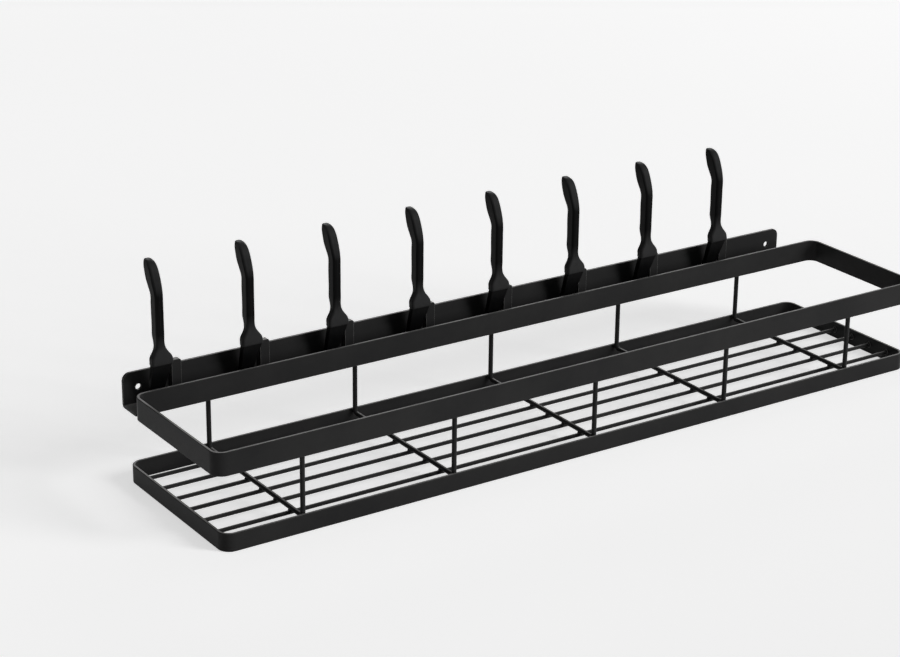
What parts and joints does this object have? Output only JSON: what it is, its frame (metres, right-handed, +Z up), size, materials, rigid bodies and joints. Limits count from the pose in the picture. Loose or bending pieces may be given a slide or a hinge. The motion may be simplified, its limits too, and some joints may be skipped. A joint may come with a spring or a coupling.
{
  "type": "wall shelf with hooks",
  "caption": "Narrow wall shelf: two flat-strip tray frames joined by bent wire cradles, with a channelled back rail along which upright hooks slide.",
  "frame": {"origin": "midway between the two wall screw holes, on the wall plane", "axes": "+X along the shelf to the right seen from the front, +Y into the wall, +Z up"},
  "size_m": [0.419, 0.0947, 0.109],
  "materials": {
    "black_coated_steel": "satin black powder coat with a faint fine texture",
    "black_hook_plastic": "moulded black plastic with a soft sheen"
  },
  "bodies": {
    "shelf": {"upper_frame": "black_coated_steel", "lower_frame": "black_coated_steel", "back_rail": "black_coated_steel", "floor_wire_1": "black_coated_steel", "floor_wire_2": "black_coated_steel", "floor_wire_3": "black_coated_steel", "floor_wire_4": "black_coated_steel", "floor_wire_5": "black_coated_steel", "floor_wire_6": "black_coated_steel", "cradle_wire_1": "black_coated_steel", "cradle_wire_2": "black_coated_steel", "cradle_wire_3": "black_coated_steel", "cradle_wire_4": "black_coated_steel", "cradle_wire_5": "black_coated_steel"},
    "hook_1": {"hook_1": "black_hook_plastic"},
    "hook_2": {"hook_2": "black_hook_plastic"},
    "hook_3": {"hook_3": "black_hook_plastic"},
    "hook_4": {"hook_4": "black_hook_plastic"},
    "hook_5": {"hook_5": "black_hook_plastic"},
    "hook_6": {"hook_6": "black_hook_plastic"},
    "hook_7": {"hook_7": "black_hook_plastic"},
    "hook_8": {"hook_8": "black_hook_plastic"}
  },
  "joints": [
    {"name": "hook_1_slide", "type": "slide", "parent": "shelf", "child": "hook_1", "axis": [1, 0, 0], "range_m": [-0.009, 0.0037]},
    {"name": "hook_2_slide", "type": "slide", "parent": "shelf", "child": "hook_2", "axis": [1, 0, 0], "range_m": [-0.0266, 0.0037]},
    {"name": "hook_3_slide", "type": "slide", "parent": "shelf", "child": "hook_3", "axis": [1, 0, 0], "range_m": [-0.0266, 0.0037]},
    {"name": "hook_4_slide", "type": "slide", "parent": "shelf", "child": "hook_4", "axis": [1, 0, 0], "range_m": [-0.0266, 0.0037]},
    {"name": "hook_5_slide", "type": "slide", "parent": "shelf", "child": "hook_5", "axis": [1, 0, 0], "range_m": [-0.0266, 0.0037]},
    {"name": "hook_6_slide", "type": "slide", "parent": "shelf", "child": "hook_6", "axis": [1, 0, 0], "range_m": [-0.0266, 0.0037]},
    {"name": "hook_7_slide", "type": "slide", "parent": "shelf", "child": "hook_7", "axis": [1, 0, 0], "range_m": [-0.0266, 0.0037]},
    {"name": "hook_8_slide", "type": "slide", "parent": "shelf", "child": "hook_8", "axis": [1, 0, 0], "range_m": [-0.0266, 0.0037]}
  ]
}
